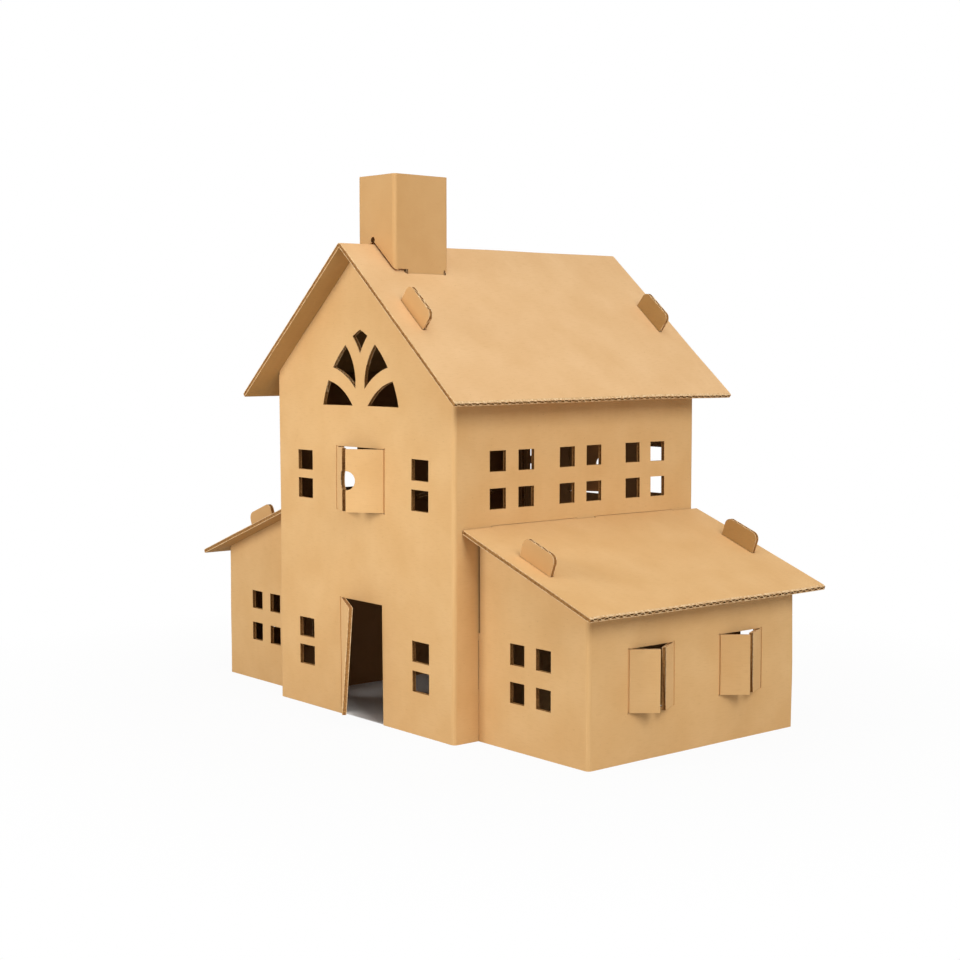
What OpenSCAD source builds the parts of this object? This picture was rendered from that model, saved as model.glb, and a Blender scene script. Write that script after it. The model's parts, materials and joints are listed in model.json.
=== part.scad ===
// Toy house of corrugated cardboard: a gabled main block with a ridge roof and a chimney,
// and a lean-to annexe on each side. Every piece is one die-cut sheet, folded on creases and
// held by tabs in slots. The front faces -Y and the gable's width runs along X.

/* [Board] */
// Thickness of the corrugated board
board = 3; // [2:0.1:4]
// Gap all round a tab in its slot
slot_gap = 0.4; // [0.2:0.1:0.8]
// Gap where the cut edge of one sheet meets the face of another
seat_gap = 0.2; // [0.1:0.1:0.6]
// Gap left by the knife round a door or shutter
knife_gap = 0.3; // [0.1:0.1:0.8]
// Radius of the score that a door or shutter folds on
score_r = 0.8; // [0.4:0.1:1.2]

/* [Main block] */
// Width across the front
main_w = 210; // [200:1:235]
// Length from front to rear
main_l = 230; // [215:1:260]
// Height of the side walls
wall_h = 245; // [230:1:270]
// Width of the lap that closes the folded walls
wall_lap = 20; // [10:1:22]

/* [Main roof] */
// Slope of the roof
roof_angle = 40.4; // [36:0.1:45]
// Length of each roof half, down the slope
roof_slope_l = 164; // [155:1:185]
// Overhang beyond the front wall
roof_front = 17; // [8:1:30]
// Overhang beyond the rear wall
roof_rear = 17; // [8:1:30]

/* [Tabs] */
// Width of a tab that stands up through a roof
tab_w = 31; // [20:1:36]
// Height of such a tab above the roof
tab_h = 14; // [6:0.5:20]
// Corner radius of all tabs
tab_r = 5; // [1:0.5:6]
// Distance from the ridge to the middle of a tab, down the slope
main_tab_at = 76; // [60:1:110]
// Distance from the main wall to the middle of a tab, down the annexe roof
annexe_tab_at = 59; // [35:1:80]

/* [Door] */
// Width of the door
door_w = 50; // [40:1:60]
// Height of the door
door_h = 85; // [70:1:95]
// Angle at which the door stands open
door_angle = 29; // [10:0.5:80]
// Gap under the door leaf
door_clear = 6; // [0.5:0.5:12]

/* [Front windows] */
// Width of a pane in the front wall
front_pane_w = 18.8; // [12:0.1:22]
// Height of a pane in the front wall
front_pane_h = 14.6; // [8:0.1:20]
// Bar between two panes in the front wall
front_bar = 6.2; // [3:0.1:10]
// Distance of these windows from the middle of the wall
front_pane_x = 68.4; // [62:0.1:76]
// Height of the middle of the upstairs windows
upper_z = 172; // [150:1:185]
// Height of the middle of the downstairs windows
lower_z = 47.4; // [32:0.1:70]

/* [Shuttered window] */
// Width of the shuttered window in each gable
gable_window_w = 56.6; // [40:0.1:64]
// Height of the shuttered window in each gable
gable_window_h = 45; // [30:0.5:56]
// Angle of the left shutter at the front
front_left_angle = 28; // [18:1:80]
// Angle of the right shutter at the front
front_right_angle = 38; // [18:1:80]
// Angle of both shutters at the rear
rear_angle = 30; // [18:1:80]
// Radius of the finger notch in a shutter
notch_r = 6.8; // [2:0.1:10]

/* [Fan light] */
// Width of the fan light
fan_w = 89; // [80:0.5:100]
// Height of the fan light
fan_h = 54; // [46:0.5:60]
// Height of its sill
fan_z = 224; // [212:1:234]
// Radius of its pointed arch
fan_arch_r = 77.4; // [60:0.5:100]
// Width of its curved ribs
fan_rib = 10.4; // [6:0.1:12]
// Inside radius of the upper pair of ribs
fan_upper_r = 41; // [38:0.5:44]
// Inside radius of the lower pair of ribs
fan_lower_r = 46.5; // [43:0.5:49]
// Distance from the middle to the centres of the ribs
fan_rib_x = 46; // [44:0.5:48]
// Height above the sill of the upper ribs' centres
fan_upper_up = 14; // [11:0.5:17]
// Depth below the sill of the lower ribs' centres
fan_lower_down = 28; // [25:0.5:31]

/* [Side windows] */
// Side of a pane in the side walls and annexes
pane = 14.3; // [8:0.1:17]
// Bar between two of these panes
pane_bar = 11.3; // [5:0.1:14]
// Number of windows in each side wall
side_windows = 3; // [1:1:3]
// Distance from one side window to the next
side_window_step = 64; // [52:0.5:68]
// Height of the middle of the side windows
side_window_z = 176.4; // [172:0.1:200]
// How much further back the left wall's windows are
left_window_shift = 2; // [0:1:8]
// Which of the left wall's windows is left out, counted from the front at 0
left_blank = 1; // [0:1:3]

/* [Annexe] */
// Distance from the main wall to the outer face of the annexe
annexe_w = 107; // [95:1:130]
// Length of the annexe
annexe_l = 198; // [185:1:205]
// Distance of its front wall behind the main front wall
annexe_setback = 21; // [10:1:24]
// Height of its outer wall
annexe_h = 103; // [96:1:110]
// Distance from the main wall to the middle of its front window
annexe_pane_x = 52.2; // [42:0.1:66]
// Height of the middle of its front window
annexe_pane_z = 51.7; // [30:0.1:66]
// Width of its shuttered windows
annexe_window_w = 42; // [30:0.5:50]
// Height of its shuttered windows
annexe_window_h = 41.5; // [24:0.5:50]
// Height of the middle of its shuttered windows
annexe_window_z = 53.2; // [35:0.1:62]
// Distance between the middles of its two shuttered windows
annexe_window_step = 86; // [70:1:100]
// Angle of the shutter nearer the front
annexe_near_angle = 40; // [18:1:80]
// Angle of the shutter nearer the rear
annexe_far_angle = 30; // [18:1:80]
// Angle of both shutters on the left annexe
left_shutter_angle = 25; // [18:1:80]
// Height of the middle of the tabs that lock it to the main wall
lock_z = 52.4; // [40:0.1:70]
// Width of the tabs that lock it to the main wall
lock_w = 32; // [20:1:40]
// Reach of all tabs past the inside of the main wall
lock_reach = 9; // [5:0.5:12]
// Gap between its end walls and the main wall, above those tabs
annexe_relief = 1.5; // [0.3:0.1:2.5]

/* [Annexe roof] */
// Slope of the annexe roof
annexe_angle = 20; // [16:0.5:22]
// Overhang of the eave beyond the outer wall, down the slope
annexe_eave = 16; // [6:0.5:30]
// Overhang beyond the end walls
annexe_verge = 14; // [6:0.5:16]
// Width of each of the two tabs that lock the roof to the main wall
roof_lock_w = 78; // [40:1:84]
// Distance between those two tabs
roof_lock_apart = 18; // [10:1:30]

/* [Chimney] */
// Width of the chimney, across the ridge
chimney_w = 42.5; // [34:0.5:50]
// Depth of the chimney, along the ridge
chimney_d = 48; // [44:0.5:56]
// Height of the chimney above the ridge
chimney_h = 47; // [30:0.5:75]
// Distance of its middle from the ridge, to the right
chimney_x = 4; // [-6:0.5:6]
// Distance of its front face behind the main front wall
chimney_y = 12; // [5:0.5:60]
// Gap between its saddle cut and the roof
saddle_gap = 2; // [0.5:0.1:3]
// Width of the tabs that hold it in the roof
chimney_tab_w = 32; // [20:1:33]
// Distance of those tabs behind the middle of its sides
chimney_tab_y = 3.8; // [0:0.1:4]
// Length of those tabs below its sides
chimney_tab_l = 17; // [10:0.5:24]
// Radius of the round relief cuts at creases and slot ends
relief_r = 2.3; // [2:0.1:3]
// Width of the lap that closes the chimney
chimney_lap = 12; // [6:0.5:16]

/* [Hidden] */
$fn = 48;
kraft_wall = "#d6aa70";
kraft_roof = "#deb47c";
over = 1;
root = 2;
hinge_r = 0.8 * board;
hinge_lap = 8;
apex = wall_h + main_w / 2 * tan(roof_angle);
roof_l = roof_front + main_l + roof_rear;
annexe_front = annexe_setback - main_l / 2;
annexe_mid = annexe_front + annexe_l / 2;
annexe_x = main_w / 2 + annexe_w;
annexe_in = main_w / 2 + seat_gap;
annexe_top = annexe_h + annexe_w * tan(annexe_angle);
annexe_slope_l = annexe_w / cos(annexe_angle) + annexe_eave;
lock_l = seat_gap + board + lock_reach;
chimney_mid = chimney_y + chimney_d / 2 - main_l / 2;
chimney_foot = roof_top(chimney_w / 2 + abs(chimney_x));
door_leaf_h = door_h - knife_gap - door_clear;
relief_z = lock_z + lock_w / 2 + 2 * board;
door_leaf_w = door_w - knife_gap;
gable_leaf_w = gable_window_w / 2 - knife_gap;
front_reach = max(roof_front, door_leaf_w * sin(door_angle), gable_leaf_w * sin(front_left_angle),
                  gable_leaf_w * sin(front_right_angle));
rear_reach = max(roof_rear, gable_leaf_w * sin(rear_angle));
middle_y = (front_reach - rear_reach) / 2;

// Height of the main roof's upper face at a distance x from the ridge
function roof_top(x) = apex + board / cos(roof_angle) - x * tan(roof_angle);

// Distance from the ridge to the outer face of the chimney's right (1) or left (-1) side
function chimney_out(side) = chimney_w / 2 + side * chimney_x;

// Height at which that side stands on the roof
function chimney_seat(side) = roof_top(chimney_out(side) - board) + seat_gap;

// Moves the house so that its origin is under the middle of its bounding box
module placed() {
    translate([0, middle_y, 0]) children();
}

// The same drawing on the right and on the left
module both_sides() {
    for (side = [0, 1]) mirror([side, 0, 0]) children();
}

// What stands on the right (1) or left (-1), drawn on the right
module on_hand(side) {
    mirror([side < 0 ? 1 : 0, 0, 0]) children();
}

// A drawing in x and z made into board whose outer face is at y = 0 and faces -Y
module sheet() {
    rotate([90, 0, 0]) translate([0, 0, -board]) linear_extrude(board) children();
}

// A drawing in x and z cut right through such a sheet
module through() {
    rotate([90, 0, 0]) translate([0, 0, -board - over]) linear_extrude(board + 2 * over) children();
}

// Places for what lies in the outer faces of the walls
module on_front() {
    translate([0, -main_l / 2, 0]) children();
}

module on_rear() {
    rotate(180) on_front() children();
}

module on_side() {
    rotate(90) translate([0, -main_w / 2, 0]) children();
}

module on_annexe_outer() {
    translate([0, annexe_mid, 0]) rotate(90) translate([0, -annexe_x, 0]) children();
}

module on_annexe_ends() {
    translate([0, annexe_front, 0]) children();
    translate([0, annexe_front + annexe_l - board, 0]) children();
}

// Frames whose x runs down the under face of a roof, from the ridge or from the main wall
module on_main_slope() {
    translate([0, 0, apex]) rotate([0, roof_angle, 0]) children();
}

module on_annexe_slope() {
    translate([main_w / 2, 0, annexe_top]) rotate([0, annexe_angle, 0]) children();
}

// Tab with rounded corners, drawn upwards from its crease
module tab(w, h) {
    translate([-w / 2, -root]) square([w, root + h - tab_r]);
    translate([-w / 2 + tab_r, -root]) square([w - 2 * tab_r, root + h]);
    for (x = [-1, 1]) translate([x * (w / 2 - tab_r), h - tab_r]) circle(tab_r);
}

// Slot for a tab of that width in a sheet that lies in x and y, centred on the tab
module slot(w, depth) {
    translate([-w / 2 - slot_gap, -slot_gap, -over])
        cube([w + 2 * slot_gap, board + 2 * slot_gap, depth + 2 * over]);
}

// Grid of panes, drawn around its middle
module panes(columns, rows, w, h, bar) {
    for (i = [0 : columns - 1], j = [0 : rows - 1])
        translate([(i - (columns - 1) / 2) * (w + bar), (j - (rows - 1) / 2) * (h + bar)])
            square([w, h], center = true);
}

// Sector of board at a crease, drawn around the crease's line
module crease(r, from, turn) {
    intersection() {
        circle(r);
        polygon([[0, 0], for (k = [0, 0.5, 1]) 2 * r * [cos(from + k * turn), sin(from + k * turn)]]);
    }
}

// Plan of a tube folded from one sheet, with creased corners and a lap inside one of them
module tube_plan(w, l, lap) {
    difference() {
        union() {
            square([w - 2 * board, l], center = true);
            square([w, l - 2 * board], center = true);
            for (x = [-1, 1], y = [-1, 1])
                translate([x * (w / 2 - board), y * (l / 2 - board)]) circle(board);
        }
        square([w - 2 * board, l - 2 * board], center = true);
    }
    translate([board - w / 2, l / 2 - 2 * board]) square([lap, board]);
}

// Flap cut on three sides and folded out on a crease along z, in the frame of a sheet
module leaf(w, h, angle, notch) {
    difference() {
        linear_extrude(h) {
            rotate(-angle) square([w, board]);
            crease(hinge_r, 90 - angle - hinge_lap, angle + 2 * hinge_lap);
        }
        if (notch > 0) rotate(-angle) translate([w, -over, h / 2]) rotate([-90, 0, 0])
            cylinder(r = notch, h = board + 2 * over);
    }
}

// Pair of shutters over a window drawn around its middle
module shutters(w, h, left_angle, right_angle, notch) {
    leaf_w = w / 2 - knife_gap;
    leaf_h = h - 2 * knife_gap;
    translate([-w / 2, 0, -leaf_h / 2]) leaf(leaf_w, leaf_h, left_angle, notch);
    mirror([1, 0, 0]) translate([-w / 2, 0, -leaf_h / 2]) leaf(leaf_w, leaf_h, right_angle, notch);
}

// Score along the crease of a flap of that height
module score(h) {
    translate([0, 0, -over]) cylinder(r = score_r, h = h + 2 * over);
}

module shutter_scores(w, h) {
    for (x = [-w / 2, w / 2]) translate([x, 0, knife_gap - h / 2]) score(h - 2 * knife_gap);
}

// Fan light under the front gable: a pointed arch parted by two pairs of curved ribs
module fan_light() {
    chord = norm([fan_w / 2, fan_h]);
    drop = sqrt(pow(fan_arch_r, 2) - pow(chord / 2, 2)) / chord;
    arch_x = fan_w / 4 - drop * fan_h;
    arch_z = fan_h / 2 - drop * fan_w / 2;
    difference() {
        intersection() {
            translate([arch_x, arch_z]) circle(fan_arch_r, $fn = 96);
            translate([-arch_x, arch_z]) circle(fan_arch_r, $fn = 96);
            translate([-fan_w, 0]) square([2 * fan_w, 2 * fan_h]);
        }
        both_sides() {
            rib(fan_upper_up, fan_upper_r);
            rib(-fan_lower_down, fan_lower_r);
        }
    }
}

module rib(up, r) {
    translate([fan_rib_x, up]) difference() {
        circle(r + fan_rib, $fn = 96);
        circle(r, $fn = 96);
    }
}

// Gable above the wall tube, between its creases
module gable() {
    edge_x = main_w / 2 - board;
    edge_z = wall_h + board * tan(roof_angle);
    sheet() {
        polygon([[-edge_x, wall_h - root], [edge_x, wall_h - root], [edge_x, edge_z], [0, apex],
                 [-edge_x, edge_z]]);
        both_sides() translate([0, apex]) rotate(-roof_angle) translate([main_tab_at, 0])
            tab(tab_w, board + tab_h);
    }
}

// Cuts that the front and the rear gable share
module gable_cuts() {
    both_sides() through() translate([front_pane_x, upper_z])
        panes(1, 2, front_pane_w, front_pane_h, front_bar);
    through() translate([0, upper_z]) square([gable_window_w, gable_window_h], center = true);
}

module front_cuts() {
    both_sides() through() translate([front_pane_x, lower_z])
        panes(1, 2, front_pane_w, front_pane_h, front_bar);
    through() translate([0, fan_z]) fan_light();
    through() translate([-door_w / 2, -over]) square([door_w, door_h + over]);
}

module side_cuts(shift, blank) {
    for (i = [0 : side_windows - 1]) if (i != blank)
        through() translate([(i - (side_windows - 1) / 2) * side_window_step + shift, side_window_z])
            panes(2, 2, pane, pane, pane_bar);
}

// Slots in a side wall for the tabs of the annexe's end walls and roof
module lock_slots() {
    on_annexe_ends() translate([main_w / 2 - board, 0, lock_z]) rotate([0, 90, 0]) slot(lock_w, board);
    on_annexe_slope() translate([0, annexe_mid, 0]) for (way = [-1, 1])
        translate([0, way * (roof_lock_apart + roof_lock_w) / 2, board / 2])
            cube([2 * lock_l, roof_lock_w + 2 * slot_gap, board + 2 * slot_gap], center = true);
}

module main_walls() {
    color(kraft_wall) placed() {
        difference() {
            union() {
                cut_walls();
                on_front() translate([-door_w / 2, 0, door_clear])
                    leaf(door_leaf_w, door_leaf_h, door_angle, 0);
                on_front() translate([0, 0, upper_z])
                    shutters(gable_window_w, gable_window_h, front_left_angle, front_right_angle, notch_r);
                on_rear() translate([0, 0, upper_z])
                    shutters(gable_window_w, gable_window_h, rear_angle, rear_angle, notch_r);
            }
            on_front() translate([-door_w / 2, 0, door_clear]) score(door_leaf_h);
            on_front() translate([0, 0, upper_z]) shutter_scores(gable_window_w, gable_window_h);
            on_rear() translate([0, 0, upper_z]) shutter_scores(gable_window_w, gable_window_h);
        }
    }
}

// The walls' sheet folded into a tube, with its windows and slots but no flaps
module cut_walls() {
    difference() {
        union() {
            linear_extrude(wall_h) tube_plan(main_w, main_l, wall_lap);
            on_front() gable();
            on_rear() gable();
        }
        on_front() gable_cuts();
        on_front() front_cuts();
        on_rear() gable_cuts();
        on_side() side_cuts(0, -1);
        on_hand(-1) on_side() side_cuts(left_window_shift, left_blank);
        both_sides() lock_slots();
    }
}

module main_roof() {
    color(kraft_roof) placed() {
        difference() {
            translate([0, main_l / 2 + roof_rear, apex]) rotate([90, 0, 0])
                linear_extrude(roof_l) ridge_profile();
            both_sides() on_main_slope() for (y = [-main_l / 2, main_l / 2 - board])
                translate([main_tab_at, y, 0]) slot(tab_w, board);
            for (side = [1, -1]) on_hand(side) chimney_slot(chimney_out(side));
        }
    }
}

// End view of the roof: two straight halves and the rounded outer side of the ridge crease
module ridge_profile() {
    eave = roof_slope_l * [cos(roof_angle), -sin(roof_angle)];
    lip = eave + board * [sin(roof_angle), cos(roof_angle)];
    crown = [for (k = [1 : -1 / 4 : -1]) board * [sin(k * roof_angle), cos(k * roof_angle)]];
    polygon(concat([[0, 0], eave, lip], crown, [[-lip[0], lip[1]], [-eave[0], eave[1]]]));
}

// Upright slot for a chimney tab whose outer face is at x, with a round relief at each end
module chimney_slot(x) {
    tall = 4 * board;
    translate([x - board, chimney_mid + chimney_tab_y, roof_top(x) - tall]) {
        translate([-slot_gap, -chimney_tab_w / 2 - slot_gap, 0])
            cube([board + 2 * slot_gap, chimney_tab_w + 2 * slot_gap, 2 * tall]);
        for (way = [-1, 1]) translate([board / 2, way * (chimney_tab_w / 2 + slot_gap), 0])
            cylinder(r = relief_r, h = 2 * tall);
    }
}

module chimney() {
    color(kraft_wall) placed() translate([0, chimney_mid, 0]) {
        difference() {
            translate([chimney_x, 0, chimney_foot]) linear_extrude(roof_top(0) + chimney_h - chimney_foot)
                tube_plan(chimney_w, chimney_d, chimney_lap);
            saddle();
            for (side = [1, -1]) on_hand(side)
                translate([chimney_out(side) - board - over, board - chimney_d / 2, chimney_foot - over])
                    cube([board + 2 * over, chimney_d - 2 * board, chimney_seat(side) - chimney_foot + over]);
        }
        for (side = [1, -1]) on_hand(side)
            translate([chimney_out(side), chimney_tab_y, chimney_seat(side)]) rotate(90) sheet()
                mirror([0, 1]) tab(chimney_tab_w, chimney_tab_l);
    }
}

// Cut that lets the chimney's front and rear faces stand astride the ridge
module saddle() {
    ridge_z = roof_top(0) + saddle_gap;
    foot_z = roof_top(chimney_w) + saddle_gap;
    translate([0, chimney_d / 2 + over, 0]) rotate([90, 0, 0]) linear_extrude(chimney_d + 2 * over) {
        polygon([[-chimney_w, foot_z], [chimney_w, foot_z], [0, ridge_z]]);
        translate([0, ridge_z]) circle(relief_r);
    }
}

// Plan of an annexe's walls: one sheet folded round two corners and open towards the main wall
module annexe_plan() {
    fold_w = annexe_w - seat_gap - board;
    translate([annexe_in, annexe_front]) difference() {
        union() {
            square([fold_w, annexe_l]);
            translate([0, board]) square([fold_w + board, annexe_l - 2 * board]);
            for (y = [board, annexe_l - board]) translate([fold_w, y]) circle(board);
        }
        translate([-over, board]) square([fold_w + over, annexe_l - 2 * board]);
    }
}

// Slanted upper part of an end wall, with its tab through the roof and its tab into the main wall
module annexe_end() {
    fold_x = annexe_x - board;
    sheet() {
        polygon([[annexe_in, annexe_h - root], [fold_x, annexe_h - root],
                 [fold_x, annexe_h + board * tan(annexe_angle)],
                 [annexe_in, annexe_top - seat_gap * tan(annexe_angle)]]);
        translate([main_w / 2, annexe_top]) rotate(-annexe_angle) translate([annexe_tab_at, 0])
            tab(tab_w, board + tab_h);
        translate([annexe_in, lock_z]) rotate(90) tab(lock_w, lock_l);
    }
}

module annexe_walls(near_angle, far_angle) {
    color(kraft_wall) placed() {
        difference() {
            union() {
                cut_annexe();
                on_annexe_outer() annexe_windows()
                    shutters(annexe_window_w, annexe_window_h, near_angle, far_angle, 0);
            }
            on_annexe_outer() annexe_windows() shutter_scores(annexe_window_w, annexe_window_h);
        }
    }
}

// An annexe's folded sheet, with its windows but no shutters
module cut_annexe() {
    difference() {
        union() {
            linear_extrude(annexe_h) annexe_plan();
            on_annexe_ends() annexe_end();
        }
        on_annexe_outer() annexe_windows() through()
            square([annexe_window_w, annexe_window_h], center = true);
        on_annexe_ends() through() translate([main_w / 2 + annexe_pane_x, annexe_pane_z])
            panes(2, 2, pane, pane, pane_bar);
        translate([annexe_in - over, annexe_front - over, relief_z])
            cube([over + annexe_relief, annexe_l + 2 * over, annexe_top]);
    }
}

// Places of the shuttered windows in an annexe's outer wall
module annexe_windows() {
    for (way = [-1, 1]) translate([way * annexe_window_step / 2, 0, annexe_window_z]) children();
}

module annexe_roof() {
    edge = seat_gap / cos(annexe_angle);
    color(kraft_roof) placed() on_annexe_slope() translate([0, annexe_mid, 0]) {
        difference() {
            translate([edge, -annexe_l / 2 - annexe_verge, 0])
                cube([annexe_slope_l - edge, annexe_l + 2 * annexe_verge, board]);
            for (y = [-annexe_l / 2, annexe_l / 2 - board])
                translate([annexe_tab_at, y, 0]) slot(tab_w, board);
        }
        for (way = [-1, 1]) translate([root, way * (roof_lock_apart + roof_lock_w) / 2, 0]) rotate(90)
            linear_extrude(board) tab(roof_lock_w, root + lock_l);
    }
}

module right_annexe_walls() {
    annexe_walls(annexe_near_angle, annexe_far_angle);
}

module right_annexe_roof() {
    annexe_roof();
}

module left_annexe_walls() {
    on_hand(-1) annexe_walls(left_shutter_angle, left_shutter_angle);
}

module left_annexe_roof() {
    on_hand(-1) annexe_roof();
}

main_walls();
main_roof();
chimney();
right_annexe_walls();
right_annexe_roof();
left_annexe_walls();
left_annexe_roof();
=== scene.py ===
import json
import math
import bpy
import bmesh
from mathutils import Matrix, Vector, noise
from mathutils.bvhtree import BVHTree

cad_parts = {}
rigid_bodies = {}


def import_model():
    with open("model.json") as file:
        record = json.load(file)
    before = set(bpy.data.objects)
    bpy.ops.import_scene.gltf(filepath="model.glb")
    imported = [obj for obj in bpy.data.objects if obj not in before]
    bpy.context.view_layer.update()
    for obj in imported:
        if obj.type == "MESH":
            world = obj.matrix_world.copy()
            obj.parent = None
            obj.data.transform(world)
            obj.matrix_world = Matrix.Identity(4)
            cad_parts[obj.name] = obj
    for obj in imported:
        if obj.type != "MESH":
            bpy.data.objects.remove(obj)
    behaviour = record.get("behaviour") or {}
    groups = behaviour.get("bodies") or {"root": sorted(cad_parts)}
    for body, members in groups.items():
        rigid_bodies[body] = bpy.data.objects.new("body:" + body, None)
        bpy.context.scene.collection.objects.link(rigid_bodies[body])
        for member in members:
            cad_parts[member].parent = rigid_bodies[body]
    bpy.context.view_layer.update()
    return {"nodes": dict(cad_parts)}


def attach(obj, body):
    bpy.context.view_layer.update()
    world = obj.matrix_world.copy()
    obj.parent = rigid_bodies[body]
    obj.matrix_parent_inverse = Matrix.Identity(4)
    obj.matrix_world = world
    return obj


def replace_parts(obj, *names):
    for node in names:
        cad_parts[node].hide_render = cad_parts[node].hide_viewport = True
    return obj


for leftOver in list(bpy.data.objects):  # start-up cube, lamp and camera
    bpy.data.objects.remove(leftOver)

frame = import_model()
mm = 0.001
hair = 1e-6                 # metres: closer than this is the same place
up = Vector((0, 0, 1))
flutePitch = 6.3 * mm       # one wave of the corrugated board
print("frame loaded:", ", ".join(sorted(frame["nodes"])))

# Camera, at the photograph's viewing angle
shot = {
    "place": (0.9600, -0.8050, 0.2678),
    "towards": (-0.7642, 0.6399, -0.0810),
    "lens": 62.81,          # mm on the sensor below
    "sensor": 36.0,
    "clip": (0.05, 20.0),
}
lens = bpy.data.cameras.new("studioCamera")
lens.lens = shot["lens"]
lens.sensor_width = shot["sensor"]
lens.clip_start, lens.clip_end = shot["clip"]
camera = bpy.data.objects.new("studioCamera", lens)
camera.location = shot["place"]
camera.rotation_euler = Vector(shot["towards"]).to_track_quat("-Z", "Y").to_euler()
bpy.context.scene.collection.objects.link(camera)
bpy.context.scene.camera = camera
bpy.context.scene.view_settings.view_transform = "Standard"
print("camera placed")


def hexColour(text):  # sRGB hex to linear
    parts = [int(text[at:at + 2], 16) / 255 for at in (1, 3, 5)]
    return [part / 12.92 if part <= 0.04045 else ((part + 0.055) / 1.055) ** 2.4 for part in parts] + [1.0]


def addNode(tree, kind, settings=None, inputs=None):
    node = tree.nodes.new("ShaderNode" + kind)
    for name, value in (settings or {}).items():
        setattr(node, name, value)
    for key, value in (inputs or {}).items():
        if isinstance(value, bpy.types.NodeSocket):
            tree.links.new(value, node.inputs[key])
        else:
            node.inputs[key].default_value = value
    return node


def newMaterial(name):
    material = bpy.data.materials.new(name)
    material.use_nodes = True
    material.node_tree.nodes.clear()
    return material, material.node_tree


# Unbleached kraft linerboard, made wet on a wire: brown, dull and matt, clouded where the pulp lay
# thicker, with darker fibres and bark specks in it, and the flutes just showing through
kraft = {
    "base": "#D8AA6F",
    "pale": "#E5BC84",      # clouds
    "paleMost": 0.55,
    "deep": "#C6955C",      # fibres
    "deepMost": 0.26,
    "speck": "#9A6C3C",
    "speckMost": 0.3,
    "cloudSize": 38 * mm,
    "cloudRange": (0.3, 0.7),
    "fibreLong": 7 * mm,    # real fibres are 3 mm by 0.03 mm: drawn coarser, to show
    "fibreWide": 0.8 * mm,
    "fibreRange": (0.50, 0.80),
    "speckSize": 1.5 * mm,
    "speckRange": (0.72, 0.80),
    "roughness": 0.88,
    "ior": 1.5,
    "fluteBump": 0.02 * mm,
    "fibreBump": 0.05 * mm,
}


def makeKraft(name, look):
    material, tree = newMaterial(name)
    place = addNode(tree, "UVMap", {"uv_map": "board"}).outputs["UV"]  # metres: along the flutes, across
    clouds = addNode(tree, "TexNoise", inputs={
        "Vector": place, "Scale": 1 / look["cloudSize"], "Detail": 3.0})
    stretch = addNode(tree, "Mapping", inputs={
        "Vector": place, "Scale": (1 / look["fibreWide"], 1 / look["fibreLong"], 1.0)})
    fibres = addNode(tree, "TexNoise", inputs={"Vector": stretch.outputs[0], "Scale": 1.0, "Detail": 4.0})
    specks = addNode(tree, "TexNoise", inputs={
        "Vector": place, "Scale": 1 / look["speckSize"], "Detail": 1.0})
    cloudShare = addNode(tree, "MapRange", inputs={
        "Value": clouds.outputs[0], "From Min": look["cloudRange"][0], "From Max": look["cloudRange"][1],
        "To Max": look["paleMost"]})
    tone = addNode(tree, "Mix", {"data_type": "RGBA"}, {
        0: cloudShare.outputs[0], 6: hexColour(look["base"]), 7: hexColour(look["pale"])})
    fibreShare = addNode(tree, "MapRange", inputs={
        "Value": fibres.outputs[0], "From Min": look["fibreRange"][0], "From Max": look["fibreRange"][1],
        "To Max": look["deepMost"]})
    grain = addNode(tree, "Mix", {"data_type": "RGBA"}, {
        0: fibreShare.outputs[0], 6: tone.outputs[2], 7: hexColour(look["deep"])})
    speckShare = addNode(tree, "MapRange", inputs={
        "Value": specks.outputs[0], "From Min": look["speckRange"][0], "From Max": look["speckRange"][1],
        "To Max": look["speckMost"]})
    colour = addNode(tree, "Mix", {"data_type": "RGBA"}, {
        0: speckShare.outputs[0], 6: grain.outputs[2], 7: hexColour(look["speck"])})
    across = addNode(tree, "SeparateXYZ", inputs={0: place})
    turns = addNode(tree, "Math", {"operation": "MULTIPLY"}, {
        0: across.outputs[1], 1: 2 * math.pi / flutePitch})
    ripple = addNode(tree, "Math", {"operation": "SINE"}, {0: turns.outputs[0]})
    fluteBump = addNode(tree, "Bump", inputs={
        "Height": ripple.outputs[0], "Distance": look["fluteBump"], "Strength": 1.0})
    fibreBump = addNode(tree, "Bump", inputs={
        "Height": fibres.outputs[0], "Distance": look["fibreBump"], "Strength": 1.0,
        "Normal": fluteBump.outputs[0]})
    shader = addNode(tree, "BsdfPrincipled", inputs={
        "Base Color": colour.outputs[2], "Normal": fibreBump.outputs[0],
        "Roughness": look["roughness"], "IOR": look["ior"]})
    addNode(tree, "OutputMaterial", inputs={0: shader.outputs[0]})
    return material


# Fluting medium, recycled pulp steamed into waves: greyer and duller than the liners, rough, unsized
medium = {
    "base": "#B38349",
    "dark": "#8C5E2C",
    "darkRange": (0.35, 0.65),
    "grain": 1.2 * mm,
    "fuzz": 0.1 * mm,
    "roughness": 0.95,
    "ior": 1.5,
}
# Die-cut edge of the liner: crushed fibres that the knife left standing, paler than the face; the same pale
# is painted along the eaves as a highlight
cutEdge = dict(medium, base="#EBCB9D", dark="#C89C68", grain=1.8 * mm)


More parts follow.
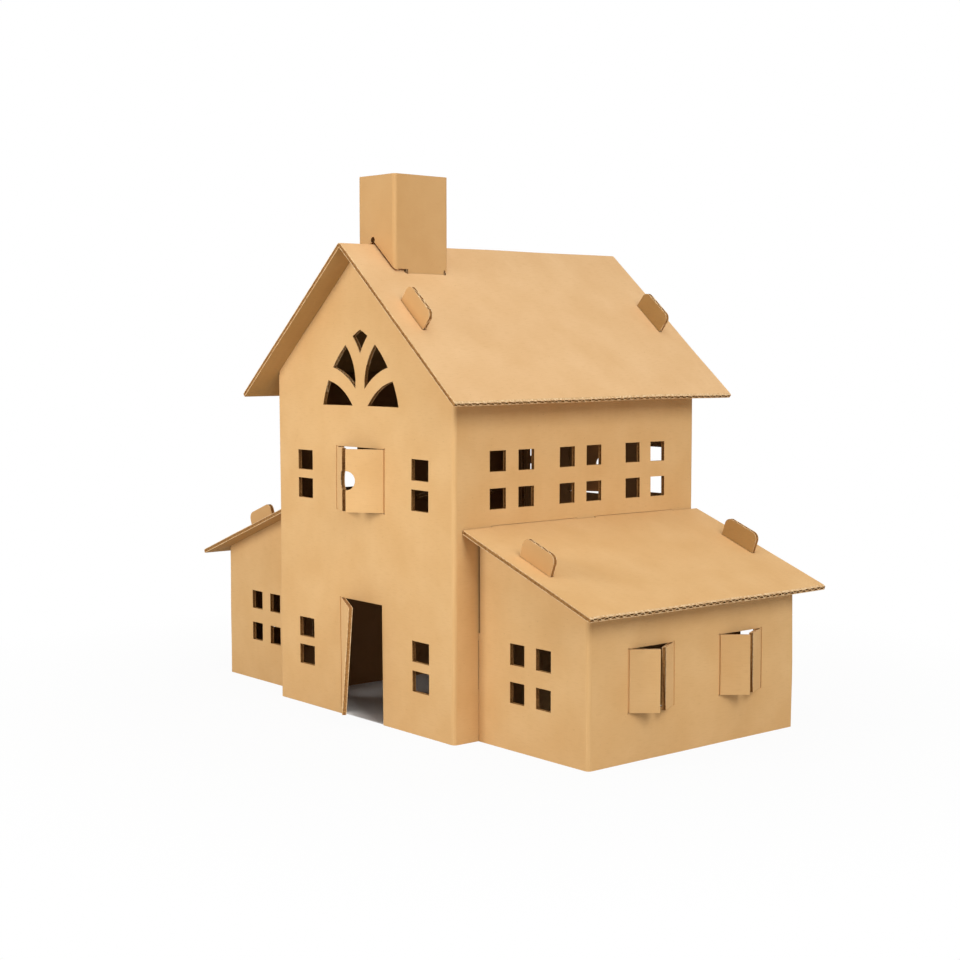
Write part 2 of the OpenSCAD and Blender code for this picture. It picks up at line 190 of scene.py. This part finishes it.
def makeFibrous(name, look):
    material, tree = newMaterial(name)
    place = addNode(tree, "TexCoord").outputs["Object"]
    fibres = addNode(tree, "TexNoise", inputs={"Vector": place, "Scale": 1 / look["grain"], "Detail": 3.0})
    share = addNode(tree, "MapRange", inputs={
        "Value": fibres.outputs[0], "From Min": look["darkRange"][0], "From Max": look["darkRange"][1]})
    colour = addNode(tree, "Mix", {"data_type": "RGBA"}, {
        0: share.outputs[0], 6: hexColour(look["base"]), 7: hexColour(look["dark"])})
    fuzz = addNode(tree, "Bump", inputs={"Height": fibres.outputs[0], "Distance": look["fuzz"]})
    shader = addNode(tree, "BsdfPrincipled", inputs={
        "Base Color": colour.outputs[2], "Normal": fuzz.outputs[0],
        "Roughness": look["roughness"], "IOR": look["ior"]})
    addNode(tree, "OutputMaterial", inputs={0: shader.outputs[0]})
    return material


# The face liner in three tones: the walls', a paler one, and a browner one that is painted shade on the
# chimney and on the tabs
wallKraft = makeKraft("kraftWallBoard", kraft)
roofKraft = makeKraft("kraftRoofBoard", dict(kraft, base="#DCB07B", pale="#E8C08E", paleMost=0.6))
flueKraftPaintedShade = makeKraft("kraftFlueBoardPaintedShade", dict(kraft, base="#C89A61", pale="#D4AA74"))
# Test liner, the recycled paper on the back of the board: browner and duller, and darker still as painted
# shade, most in the rooms; the soffit tone is painted shade under the roofs and on the tabs' backs
recycled = dict(kraft, base="#9C6E3F", pale="#A8794A", deep="#84582E", paleMost=0.5)
testLinerPaintedShade = makeKraft("testLinerPaintedShade", recycled)
soffitLinerPaintedShade = makeKraft("soffitLinerPaintedShade", dict(recycled, base="#B0884F", pale="#BD955F", deep="#98703A"))
cutLinerEdgeAndRimHighlight = makeFibrous("cutLinerEdgeAndRimHighlight", cutEdge)
flutingMediumAndPaintedShade = makeFibrous("flutingMediumAndPaintedShade", medium)
print("materials made")

# Corrugated board: two liners with a wavy medium between them
board = {
    "thick": 3.0 * mm,
    "liner": 0.5 * mm,      # real liners are 0.3 mm and the medium 0.25 mm: drawn thicker, to show
    "medium": 0.7 * mm,
    "steps": 12,            # segments in a flute
    "steep": 1.6,           # how much of each wave is cut off flat where it is glued
    "shortest": 4.0 * mm,   # cut edges below this show no wave
    "endGap": 0.2 * mm,     # from a wave's end to the end of its edge
    "frontGap": 0.1 * mm,   # how far the wave lies behind the cut
    "reveal": 1.3 * mm,     # how deep the knife crushed the medium in small openings
    "rim": 1.7 * mm,        # width along an eave that the knife pressed down, painted pale as a highlight
    "press": 0.35 * mm,     # how far
    "sharp": math.radians(32),  # folds from this angle on are shaded as corners
}
# How the faces of a sheet are told apart
signs = {
    "edgeDeep": 1.15,       # boards: a cut edge has more than this behind it
    "lapDeep": (1.8, 2.3),  # boards: behind a glued lap
    "lapArea": 200e-6,      # m2: smallest face of a glued lap
    "panel": 0.15,          # share of the largest flat side from which a flat side is a panel
    "planeStep": 0.2 * mm,  # planes closer than this are one flat side
    "fold": 8 * mm,         # shortest fold
    "foldTurn": (0.01, 0.7),  # radians between two strips of a rounded fold
    "score": 2 * mm,        # width of the score that a leaf folds on
    "facing": 30 * mm,      # widest opening whose cut edges stay in its own shade
    "openings": (0.01, 0.3),  # heights between which level cuts are openings, whose edges the die shut
    "level": 0.99,          # from this on a normal is upright
    "slant": 0.1,           # sine of the angle to the flutes below which a face has no way of its own
    "whole": 0.1,           # share by which an edge's width may differ from the board's
    "across": 0.35,         # sine of the angle from which an edge crosses the flutes
    "runStep": 0.1 * mm,    # cut edges closer than this to one line are one run
    "spanGap": 0.2 * mm,    # gaps in a run below this are closed
    "eave": 100 * mm,       # shortest eave
    "upper": 0.5,           # from this slope on a face is the upper side of a roof
    "tabHigh": 30 * mm,     # tabs reach less than this above their roof
    "toCorner": 0.3,        # where rays start between a face's middle and its corners
    "lift": 1e-5,           # how far off the face they start
    "farOff": 1.0,          # reach of a ray that meets nothing
}
# Leaves that hang askew: the door is open wider at the foot, where its free corner is lifted, and one
# shutter is pushed a little shut
leaves = {
    "door": {
        "hinge": Vector((-0.0250, -0.1115, 0)), "along": Vector((1, 0, 0)), "out": Vector((0, -1, 0)),
        "reach": 50 * mm, "foot": 0.0, "top": 0.086, "turn": math.radians(-6.5), "topShare": 0.0,
        "lift": 4 * mm},
    "shutter": {
        "hinge": Vector((0.2120, 0.0725, 0)), "along": Vector((0, -1, 0)), "out": Vector((1, 0, 0)),
        "reach": 24 * mm, "foot": 0.030, "top": 0.076, "turn": math.radians(-3.5), "topShare": 1.0,
        "lift": 0.0},
}
leafClear = 0.3 * mm        # what stands out from the wall by more belongs to the leaf
# How far the board has bent and buckled, one slow field for the whole house so that sheets stay fitted
warp = {
    "far": 0.7 * mm,
    "size": 110 * mm,
    "ripple": 0.25 * mm,
    "rippleSize": 42 * mm,
    "rippleFrom": Vector((7, 3, 5)),  # so that ripples don't follow the slow bends
    "footHigh": 0.03,       # bends grow up to this height, because the feet stay on the floor
    "grid": 14 * mm,        # spacing of the points that bend
    "gridFrom": 0.37,       # share of the spacing that keeps them off the edges
    "seed": 11,             # the same bends in every run
}
noise.seed_set(warp["seed"])
# What sheets share: groove and pocket are how deep the medium lies at edges along and across the flutes
walls = {"flutesUp": True, "slot": "wall_board", "face": wallKraft, "back": testLinerPaintedShade,
         "groove": 0.4 * mm, "pocket": 0.6 * mm}
roofs = {"flutesUp": False, "slot": "roof_board", "face": wallKraft, "back": soffitLinerPaintedShade,
         "groove": 0.6 * mm, "pocket": 1.8 * mm}
sheets = {
    "main_walls": dict(walls, name="mainWalls", roof="main_roof"),
    "main_roof": dict(roofs, name="mainRoof", face=roofKraft),
    "chimney": dict(walls, name="chimneyTube", face=flueKraftPaintedShade),
    "right_annexe_walls": dict(walls, name="rightAnnexeWalls", roof="right_annexe_roof"),
    "right_annexe_roof": dict(roofs, name="rightAnnexeRoof"),
    "left_annexe_walls": dict(walls, name="leftAnnexeWalls", roof="left_annexe_roof"),
    "left_annexe_roof": dict(roofs, name="leftAnnexeRoof"),
}
# Kinds of face: the first six are material slots, the last three become core once they are sunk
liner, edge, coreAndPaintedShade, inner, tab, tabFacePaintedShade, hollow, pocket, reveal = range(9)


def bent(point):
    sway = noise.noise_vector(point / warp["size"]) * warp["far"]
    sway += noise.noise_vector(point / warp["rippleSize"] + warp["rippleFrom"]) * warp["ripple"]
    sway.z *= min(1.0, point.z / warp["footHigh"])
    return askew(point) + sway


def askew(point):
    for leaf in leaves.values():
        arm = Vector((point.x, point.y, 0)) - leaf["hinge"]
        beside = arm.dot(leaf["out"]) > leafClear and 0 < arm.dot(leaf["along"]) < leaf["reach"]
        if beside and leaf["foot"] <= point.z <= leaf["top"]:
            low = (leaf["top"] - point.z) / (leaf["top"] - leaf["foot"])
            share = leaf["topShare"] + (1 - leaf["topShare"]) * low
            swung = Matrix.Rotation(leaf["turn"] * share, 3, "Z") @ arm
            return point + swung - arm + up * leaf["lift"] * share * arm.length / leaf["reach"]
    return point


def fluteWay(normal, flutesUp):  # the way that flutes run in a panel that faces this way
    way = up - normal * normal.z if flutesUp else Vector((0, 1, 0)).cross(normal)
    return way.normalized() if way.length > signs["slant"] else None


def inwardDepth(tree, face):  # board under a face, by the shortest of the rays from its middle and corners
    middle = face.calc_center_median()
    shortest = signs["farOff"]
    for start in [middle] + [middle.lerp(vert.co, signs["toCorner"]) for vert in face.verts]:
        reach = tree.ray_cast(start - face.normal * signs["lift"], -face.normal)[3]
        shortest = min(shortest, reach or signs["farOff"])
    return shortest


def facesWithin(tree, face, reach):  # another part of the sheet stands close in front of the face
    ahead = tree.ray_cast(face.calc_center_median() + face.normal * signs["lift"], face.normal)[3]
    return ahead is not None and ahead < reach


def planeOf(face):
    height = face.normal.dot(face.verts[0].co)
    return tuple(round(part, 2) for part in face.normal) + (round(height / signs["planeStep"]),)


def onCorner(face):  # a strip of a rounded fold
    least, most = signs["foldTurn"]
    long = [line for line in face.edges if line.calc_length() > signs["fold"]]
    return any(least < line.calc_face_angle(0) < most for line in long)


def sortFaces(mesh, flutesUp):  # liner, cut edge or inner liner, for every face of a sheet
    tree = BVHTree.FromBMesh(mesh)
    spots = [vert.co for vert in mesh.verts]
    middle = Vector([(min(axis) + max(axis)) / 2 for axis in zip(*spots)])
    planes = {}
    for face in mesh.faces:
        planes[planeOf(face)] = planes.get(planeOf(face), 0) + face.calc_area()
    panel = signs["panel"] * max(planes.values())
    kinds = []
    for face in mesh.faces:
        boards = inwardDepth(tree, face) / board["thick"]
        lapped = signs["lapDeep"][0] < boards < signs["lapDeep"][1] and face.calc_area() > signs["lapArea"]
        outward = (face.calc_center_median() - middle).dot(face.normal) if flutesUp else face.normal.z
        small = planes[planeOf(face)] < panel and not onCorner(face)
        if boards > signs["edgeDeep"] and not lapped and small:
            kinds.append(edge)
        else:
            scored = facesWithin(tree, face, signs["score"])
            kinds.append(liner if outward > 0 or scored else inner)
    return kinds


def splitEdges(mesh, kinds, flutesUp):  # cut edges become liner, core, liner, and open flutes are listed
    points = [vert.co.copy() for vert in mesh.verts]
    faces = []
    runs = {}
    share = board["liner"] / board["thick"]
    tree = BVHTree.FromBMesh(mesh)
    halfway = {}
    for line in mesh.edges:
        if len(line.link_faces) == 2 and all(kinds[face.index] == edge for face in line.link_faces):
            a, b = line.verts
            points.append(a.co.lerp(b.co, share))
            points.append(a.co.lerp(b.co, 1 - share))
            halfway[(a.index, b.index)] = (len(points) - 2, len(points) - 1)
            halfway[(b.index, a.index)] = (len(points) - 1, len(points) - 2)
    for face in mesh.faces:
        ring = [vert.index for vert in face.verts]
        sides = list(zip(ring, ring[1:] + ring[:1]))
        split = [side in halfway for side in sides]
        if sum(split) == 2 and len(ring) == 3:
            turn = split.index(False)
            q, r, tip = [ring[(turn + step) % 3] for step in range(3)]
            q1, q2 = halfway[(tip, q)]
            r1, r2 = halfway[(tip, r)]
            opened = noteRun(runs, points[q], points[r], points[tip], face.normal, flutesUp)
            shaded = not opened and facesWithin(tree, face, signs["facing"])
            middle = pocket if opened else reveal if shaded else hollow
            # in openings that stay in their own shade the liner rims take the medium's darker colour as
            # painted shade
            rim = coreAndPaintedShade if shaded else edge
            faces += [((tip, q1, r1), rim), ((q1, q2, r2, r1), middle), ((q2, q, r, r2), rim)]
        else:
            loop = []
            for side, cut in zip(sides, split):
                loop.append(side[0])
                loop += halfway[side] if cut else ()
            faces.append((loop, kinds[face.index]))
    return points, faces, runs


def noteRun(runs, start, end, across, normal, flutesUp):  # keeps a run that crosses open flutes, and tells so
    way = (end - start).normalized()
    if max(way, key=abs) < 0:
        way = -way
    through = across - start
    through -= way * through.dot(way)
    along = fluteWay(through.normalized(), flutesUp)
    low, high = signs["openings"]
    shut = abs(normal.z) > signs["level"] and low < start.z < high
    whole = abs(through.length - board["thick"]) < signs["whole"] * board["thick"]
    if shut or not whole or not along or way.cross(along).length < signs["across"]:
        return False
    middle = start + through / 2
    base = middle - way * middle.dot(way)
    facing = tuple(round(part, 2) for part in (*way, *normal))
    key = facing + tuple(round(part / signs["runStep"]) for part in base)
    run = runs.setdefault(key, {"way": way, "out": normal.copy(), "base": base, "spans": []})
    run["through"] = through.normalized()
    run["spans"].append(sorted((start.dot(way), end.dot(way))))
    return True


def joinSpans(spans):
    joined = []
    for low, high in sorted(spans):
        if joined and low < joined[-1][1] + signs["spanGap"]:
            joined[-1][1] = max(joined[-1][1], high)
        else:
            joined.append([low, high])
    return joined


def fluteRibbons(runs, plan):  # the wavy medium as it shows in every straight cut edge across the flutes
    points = []
    faces = []
    fronts = set()  # the faces that the knife cut
    swing = board["thick"] / 2 - board["liner"] - board["medium"] / 2
    near, deep = board["frontGap"], plan["pocket"]
    for run in runs.values():
        through = run["through"]
        if through.cross(run["way"]).dot(run["out"]) < 0:  # so that the ribbon's faces look outwards
            through = -through
        along = fluteWay(through, plan["flutesUp"])
        sideways = through.cross(along)
        step = flutePitch / run["way"].cross(along).length / board["steps"]
        for low, high in joinSpans(run["spans"]):
            if high - low < board["shortest"]:
                continue
            length = high - low - 2 * board["endGap"]
            count = max(2, round(length / step))
            first = len(points)
            for at in range(count + 1):
                spot = run["base"] + run["way"] * (low + board["endGap"] + length * at / count)
                wave = board["steep"] * math.sin(2 * math.pi * spot.dot(sideways) / flutePitch)
                wave = swing * max(-1.0, min(1.0, wave))
                for side, depth in ((-1, near), (1, near), (1, deep), (-1, deep)):
                    points.append(spot + through * (wave + side * board["medium"] / 2) - run["out"] * depth)
            for at in range(count):
                fronts.add(len(faces))
                for side in range(4):
                    a = first + 4 * at + side
                    b = first + 4 * at + (side + 1) % 4
                    faces.append((a, b, b + 4, a + 4))
            faces.append(tuple(first + side for side in (3, 2, 1, 0)))
            faces.append(tuple(first + 4 * count + side for side in range(4)))
    return points, faces, fronts


def underRoof(face):  # tabs stand clear of every roof, rooms do not: the rooms keep the darkest painted shade
    starts = [vert.co + face.normal * mm for vert in face.verts]
    return all(any(roof.ray_cast(start, up)[0] for roof in roofTrees.values()) for start in starts)


def overRoof(face, roof):  # tabs stand close above their own roof; their face is painted the browner shade
    high = roof.ray_cast(face.calc_center_median() + face.normal * mm, -up)[3]
    return high is not None and high < signs["tabHigh"]


def planeCut(mesh, place, normal):
    everything = mesh.verts[:] + mesh.edges[:] + mesh.faces[:]
    bmesh.ops.bisect_plane(mesh, geom=everything, dist=hair, plane_co=place, plane_no=normal)


def gridCut(mesh):  # points all over the sheet, for the bending
    for axis in range(3):
        low = min(vert.co[axis] for vert in mesh.verts)
        high = max(vert.co[axis] for vert in mesh.verts)
        normal = Vector([float(axis == other) for other in range(3)])
        for at in range(math.floor(low / warp["grid"]) + 1, math.ceil(high / warp["grid"])):
            planeCut(mesh, normal * (at + warp["gridFrom"]) * warp["grid"], normal)


def sinkCores(mesh, plan):  # the medium lies back between the liners
    for kind, depth in ((hollow, plan["groove"]), (pocket, plan["pocket"]), (reveal, board["reveal"])):
        floors = [face for face in mesh.faces if face.material_index == kind]
        sides = bmesh.ops.inset_region(mesh, faces=floors, use_boundary=True, use_even_offset=True,
                                       thickness=hair, depth=-depth)["faces"]
        for face in floors + sides:
            face.material_index = coreAndPaintedShade


def pressRimsPaintHighlight(mesh, runs):  # along the eaves: pressed down, and painted pale as a highlight
    for run in runs.values():
        if sum(high - low for low, high in joinSpans(run["spans"])) < signs["eave"]:
            continue
        out = run["out"]
        reach = run["base"].dot(out)
        planeCut(mesh, out * (reach - board["rim"]), out)
        rims = []
        for face in mesh.faces:
            outermost = face.calc_center_median().dot(out) > reach - board["rim"]
            if outermost and face.material_index == liner and face.normal.z > signs["upper"]:
                rims.append(face)
                face.material_index = edge
        for vert in {vert for face in rims for vert in face.verts}:
            if vert.co.dot(out) > reach - signs["runStep"]:
                vert.co -= rims[0].normal * board["press"]


# paints shade: the tabs' backs take the soffit tone, lighter than the rooms', and the tabs' faces the browner
# one
def paintTabAndRoomShade(mesh, plan):
    for face in mesh.faces:
        if plan["flutesUp"] and face.material_index == inner and not underRoof(face):
            face.material_index = tab
        elif "roof" in plan and face.material_index == liner and overRoof(face, roofTrees[plan["roof"]]):
            face.material_index = tabFacePaintedShade


def layOut(mesh, flutesUp):  # metres along and across the flutes, for the paper's grain
    layout = mesh.loops.layers.uv.new("board")
    for face in mesh.faces:
        along = fluteWay(face.normal, flutesUp) or Vector((1, 0, 0))
        across = face.normal.cross(along)
        for loop in face.loops:
            loop[layout].uv = (loop.vert.co.dot(along), loop.vert.co.dot(across))


def addPiece(name, mesh):
    piece = bpy.data.objects.new(name, mesh)
    bpy.context.scene.collection.objects.link(piece)
    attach(piece, "root")
    return piece


def addFlutes(plan, runs):
    points, faces, fronts = fluteRibbons(runs, plan)
    print("sheet", plan["name"], len(points), "flute points")
    if not faces:
        return
    mesh = bpy.data.meshes.new(plan["name"] + "Flutes")
    mesh.from_pydata([bent(point) for point in points], [], faces)
    mesh.materials.append(flutingMediumAndPaintedShade)
    mesh.materials.append(cutLinerEdgeAndRimHighlight)
    for at, face in enumerate(mesh.polygons):
        face.material_index = int(at in fronts)
    addPiece(plan["name"] + "Flutes", mesh)


def buildSheet(node, plan):
    solid = bmesh.new()
    solid.from_mesh(frame["nodes"][node].data)
    bmesh.ops.remove_doubles(solid, verts=solid.verts, dist=2 * hair)
    solid.normal_update()
    solid.verts.index_update()
    solid.faces.index_update()
    points, faces, runs = splitEdges(solid, sortFaces(solid, plan["flutesUp"]), plan["flutesUp"])
    solid.free()

    shaped = bmesh.new()
    corners = [shaped.verts.new(point) for point in points]
    for ring, kind in faces:
        shaped.faces.new([corners[at] for at in ring]).material_index = kind
    shaped.normal_update()
    sinkCores(shaped, plan)
    if not plan["flutesUp"]:
        shaped.normal_update()
        pressRimsPaintHighlight(shaped, runs)
    gridCut(shaped)
    shaped.normal_update()
    paintTabAndRoomShade(shaped, plan)
    layOut(shaped, plan["flutesUp"])
    for vert in shaped.verts:
        vert.co = bent(vert.co)
    for face in shaped.faces:
        face.smooth = True
    mesh = bpy.data.meshes.new(plan["name"])
    shaped.to_mesh(mesh)
    shaped.free()
    mesh.set_sharp_from_angle(angle=board["sharp"])
    for finish in (plan["face"], cutLinerEdgeAndRimHighlight, flutingMediumAndPaintedShade, plan["back"], soffitLinerPaintedShade, flueKraftPaintedShade):
        mesh.materials.append(finish)
    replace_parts(addPiece(plan["name"], mesh), node)
    addFlutes(plan, runs)


roofTrees = {}
for node in ("main_roof", "right_annexe_roof", "left_annexe_roof"):
    mesh = frame["nodes"][node].data
    roofTrees[node] = BVHTree.FromPolygons([vert.co for vert in mesh.vertices],
                                           [face.vertices for face in mesh.polygons])
for node, plan in sheets.items():
    buildSheet(node, plan)

# Studio: pale floor, white surround, soft boxes
studio = {
    "floorSize": 8.0,
    "floorColour": "#C9C8C5",
    "shine": 0.95,          # share of the floor near the house that the camera sees as plain white
    "shadeFrom": 0.24,      # metres from the middle: the shadow ends between these
    "shadeTo": 0.50,
    "ambient": 0.30,
}
indoors = {                 # floor of the rooms, which only their own light reaches: left, right, front, back
    "main": (-0.103, 0.103, -0.1098, 0.1168),
    "rightAnnexe": (0.106, 0.208, -0.0862, 0.1032),
    "leftAnnexe": (-0.208, -0.106, -0.0862, 0.1032),
    "lift": 0.1 * mm,
    "colour": "#F4F2EE",
}
softBoxes = {
    "key": {"place": (-0.05, -0.78, 0.36), "aim": (0.0, -0.11, 0.15), "size": 0.35, "watts": 3.1},
    "overhead": {"place": (0.5, -0.2, 1.7), "aim": (0.0, 0.0, 0.2), "size": 1.2, "watts": 7.3},
    "fill": {"place": (1.6, -0.3, 1.1), "aim": (0.1, 0.0, 0.15), "size": 0.9, "watts": 17.0},
    "back": {"place": (-1.3, 1.1, 0.9), "aim": (0.0, 0.0, 0.15), "size": 1.2, "watts": 8.0},
}


def flatSheet(name, corners, material):
    mesh = bpy.data.meshes.new(name)
    mesh.from_pydata(corners, [], [tuple(range(len(corners)))])
    mesh.materials.append(material)
    sheet = bpy.data.objects.new(name, mesh)
    bpy.context.scene.collection.objects.link(sheet)


def seenPlain(tree):  # 1 on camera, glossy and transmission rays
    path = addNode(tree, "LightPath")
    either = addNode(tree, "Math", {"operation": "MAXIMUM"}, {
        0: path.outputs["Is Camera Ray"], 1: path.outputs["Is Glossy Ray"]})
    return addNode(tree, "Math", {"operation": "MAXIMUM"}, {
        0: either.outputs[0], 1: path.outputs["Is Transmission Ray"]}).outputs[0]


# Matt white paper under and behind the house: it keeps the shadow close by and is plain white further off
floorPaper, tree = newMaterial("floorPaper")
matt = addNode(tree, "BsdfDiffuse", inputs={"Color": hexColour(studio["floorColour"])})
white = addNode(tree, "Emission", inputs={"Color": (1, 1, 1, 1), "Strength": 1.0})
place = addNode(tree, "TexCoord").outputs["Object"]
away = addNode(tree, "VectorMath", {"operation": "LENGTH"}, {0: place})
share = addNode(tree, "MapRange", inputs={
    "Value": away.outputs["Value"], "From Min": studio["shadeFrom"], "From Max": studio["shadeTo"],
    "To Min": studio["shine"], "To Max": 1.0})
amount = addNode(tree, "Math", {"operation": "MULTIPLY"}, {0: seenPlain(tree), 1: share.outputs[0]})
both = addNode(tree, "MixShader", inputs={0: amount.outputs[0], 1: matt.outputs[0], 2: white.outputs[0]})
addNode(tree, "OutputMaterial", inputs={0: both.outputs[0]})
far = studio["floorSize"] / 2
flatSheet("floor", [(-far, -far, 0), (far, -far, 0), (far, far, 0), (-far, far, 0)], floorPaper)

# The same paper in the rooms, without the plain white: it shows how dark they are
tablePaper, tree = newMaterial("tablePaper")
matt = addNode(tree, "BsdfDiffuse", inputs={"Color": hexColour(indoors["colour"])})
addNode(tree, "OutputMaterial", inputs={0: matt.outputs[0]})
for room in ("main", "rightAnnexe", "leftAnnexe"):
    left, right, front, back = indoors[room]
    corners = ((left, front), (right, front), (right, back), (left, back))
    flatSheet(room + "Floor", [(x, y, indoors["lift"]) for x, y in corners], tablePaper)

surround = bpy.data.worlds.new("surround")
surround.use_nodes = True
tree = surround.node_tree
tree.nodes.clear()
strength = addNode(tree, "MapRange", inputs={
    "Value": seenPlain(tree), "To Min": studio["ambient"], "To Max": 1.0})
glow = addNode(tree, "Background", inputs={"Color": (1, 1, 1, 1), "Strength": strength.outputs[0]})
addNode(tree, "OutputWorld", inputs={0: glow.outputs[0]})
bpy.context.scene.world = surround

for name, box in softBoxes.items():
    light = bpy.data.lights.new(name + "SoftBox", "AREA")
    light.size = box["size"]
    light.energy = box["watts"]
    lamp = bpy.data.objects.new(name + "SoftBox", light)
    lamp.location = box["place"]
    lamp.rotation_euler = (Vector(box["aim"]) - Vector(box["place"])).to_track_quat("-Z", "Y").to_euler()
    lamp.visible_camera = False
    bpy.context.scene.collection.objects.link(lamp)
print("studio lit")
